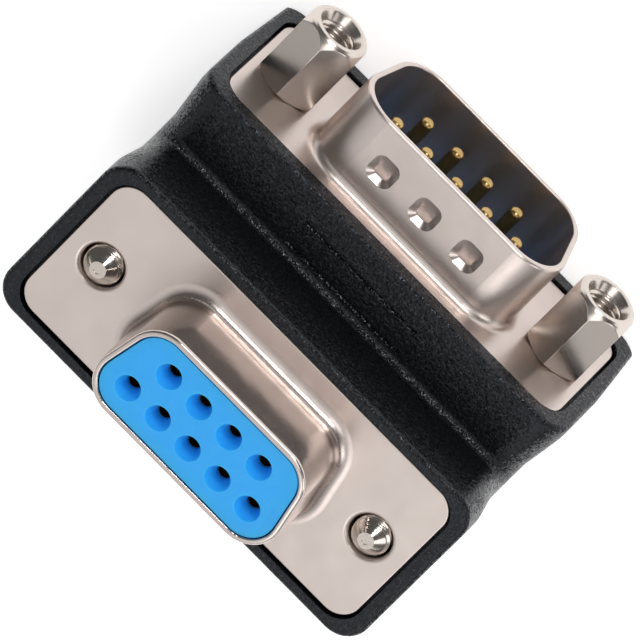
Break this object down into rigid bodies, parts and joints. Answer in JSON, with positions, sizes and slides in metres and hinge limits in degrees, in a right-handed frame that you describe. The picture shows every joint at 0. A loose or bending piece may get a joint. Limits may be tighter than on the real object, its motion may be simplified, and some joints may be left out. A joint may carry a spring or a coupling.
{
  "type": "right-angle d-sub adapter",
  "caption": "Right-angle adapter between two D-shaped connectors: socket face up, pin face forward, in a black moulded elbow with captive jackscrews and hex standoffs.",
  "frame": {"origin": "On the flat base, straight under the axis of the socket face.", "axes": "+X runs along the flanges, the pin face looks along -Y, the socket face looks along +Z."},
  "size_m": [0.0334, 0.0254, 0.0273],
  "materials": {
    "black_plastic": "moulded black plastic with a fine spark-eroded texture",
    "nickel_plate": "satin nickel plating on stamped steel",
    "nickel_brass": "nickel plating on turned hex bar",
    "plated_screw": "nickel plating on a rolled thread",
    "spring_steel": "plain spring steel",
    "blue_insulator": "moulded blue plastic, satin",
    "dark_insulator": "moulded dark blue plastic, satin",
    "gold_contact": "gold flash on turned brass",
    "wire_insulation": "extruded insulation on thin jumper wire"
  },
  "bodies": {
    "elbow": {"housing": "black_plastic", "female_front_shell": "nickel_plate", "female_rear_shell": "nickel_plate", "female_front_insulator": "blue_insulator", "female_rear_insulator": "blue_insulator", "male_front_shell": "nickel_plate", "male_rear_shell": "nickel_plate", "male_front_insulator": "dark_insulator", "male_rear_insulator": "dark_insulator", "hex_standoffs": "nickel_brass", "standoff_nuts": "nickel_brass", "socket_1": "gold_contact", "socket_2": "gold_contact", "socket_3": "gold_contact", "socket_4": "gold_contact", "socket_5": "gold_contact", "socket_6": "gold_contact", "socket_7": "gold_contact", "socket_8": "gold_contact", "socket_9": "gold_contact", "pin_1": "gold_contact", "pin_2": "gold_contact", "pin_3": "gold_contact", "pin_4": "gold_contact", "pin_5": "gold_contact", "pin_6": "gold_contact", "pin_7": "gold_contact", "pin_8": "gold_contact", "pin_9": "gold_contact", "wire_1": "wire_insulation", "wire_2": "wire_insulation", "wire_3": "wire_insulation", "wire_4": "wire_insulation", "wire_5": "wire_insulation", "wire_6": "wire_insulation", "wire_7": "wire_insulation", "wire_8": "wire_insulation", "wire_9": "wire_insulation"},
    "ring_left": {"retaining_ring_left": "spring_steel"},
    "ring_right": {"retaining_ring_right": "spring_steel"},
    "screw_left": {"jackscrew_left": "plated_screw"},
    "screw_right": {"jackscrew_right": "plated_screw"}
  },
  "joints": [
    {"name": "left_screw_slide", "type": "slide", "parent": "elbow", "child": "ring_left", "axis": [0, 0, 1], "range_m": [0, 0.005]},
    {"name": "left_screw_turn", "type": "hinge", "parent": "ring_left", "child": "screw_left", "pos_m": [-0.01249, 0, 0.0123], "axis": [0, 0, 1], "continuous": true},
    {"name": "right_screw_slide", "type": "slide", "parent": "elbow", "child": "ring_right", "axis": [0, 0, 1], "range_m": [0, 0.005]},
    {"name": "right_screw_turn", "type": "hinge", "parent": "ring_right", "child": "screw_right", "pos_m": [0.01249, 0, 0.0123], "axis": [0, 0, 1], "continuous": true}
  ]
}
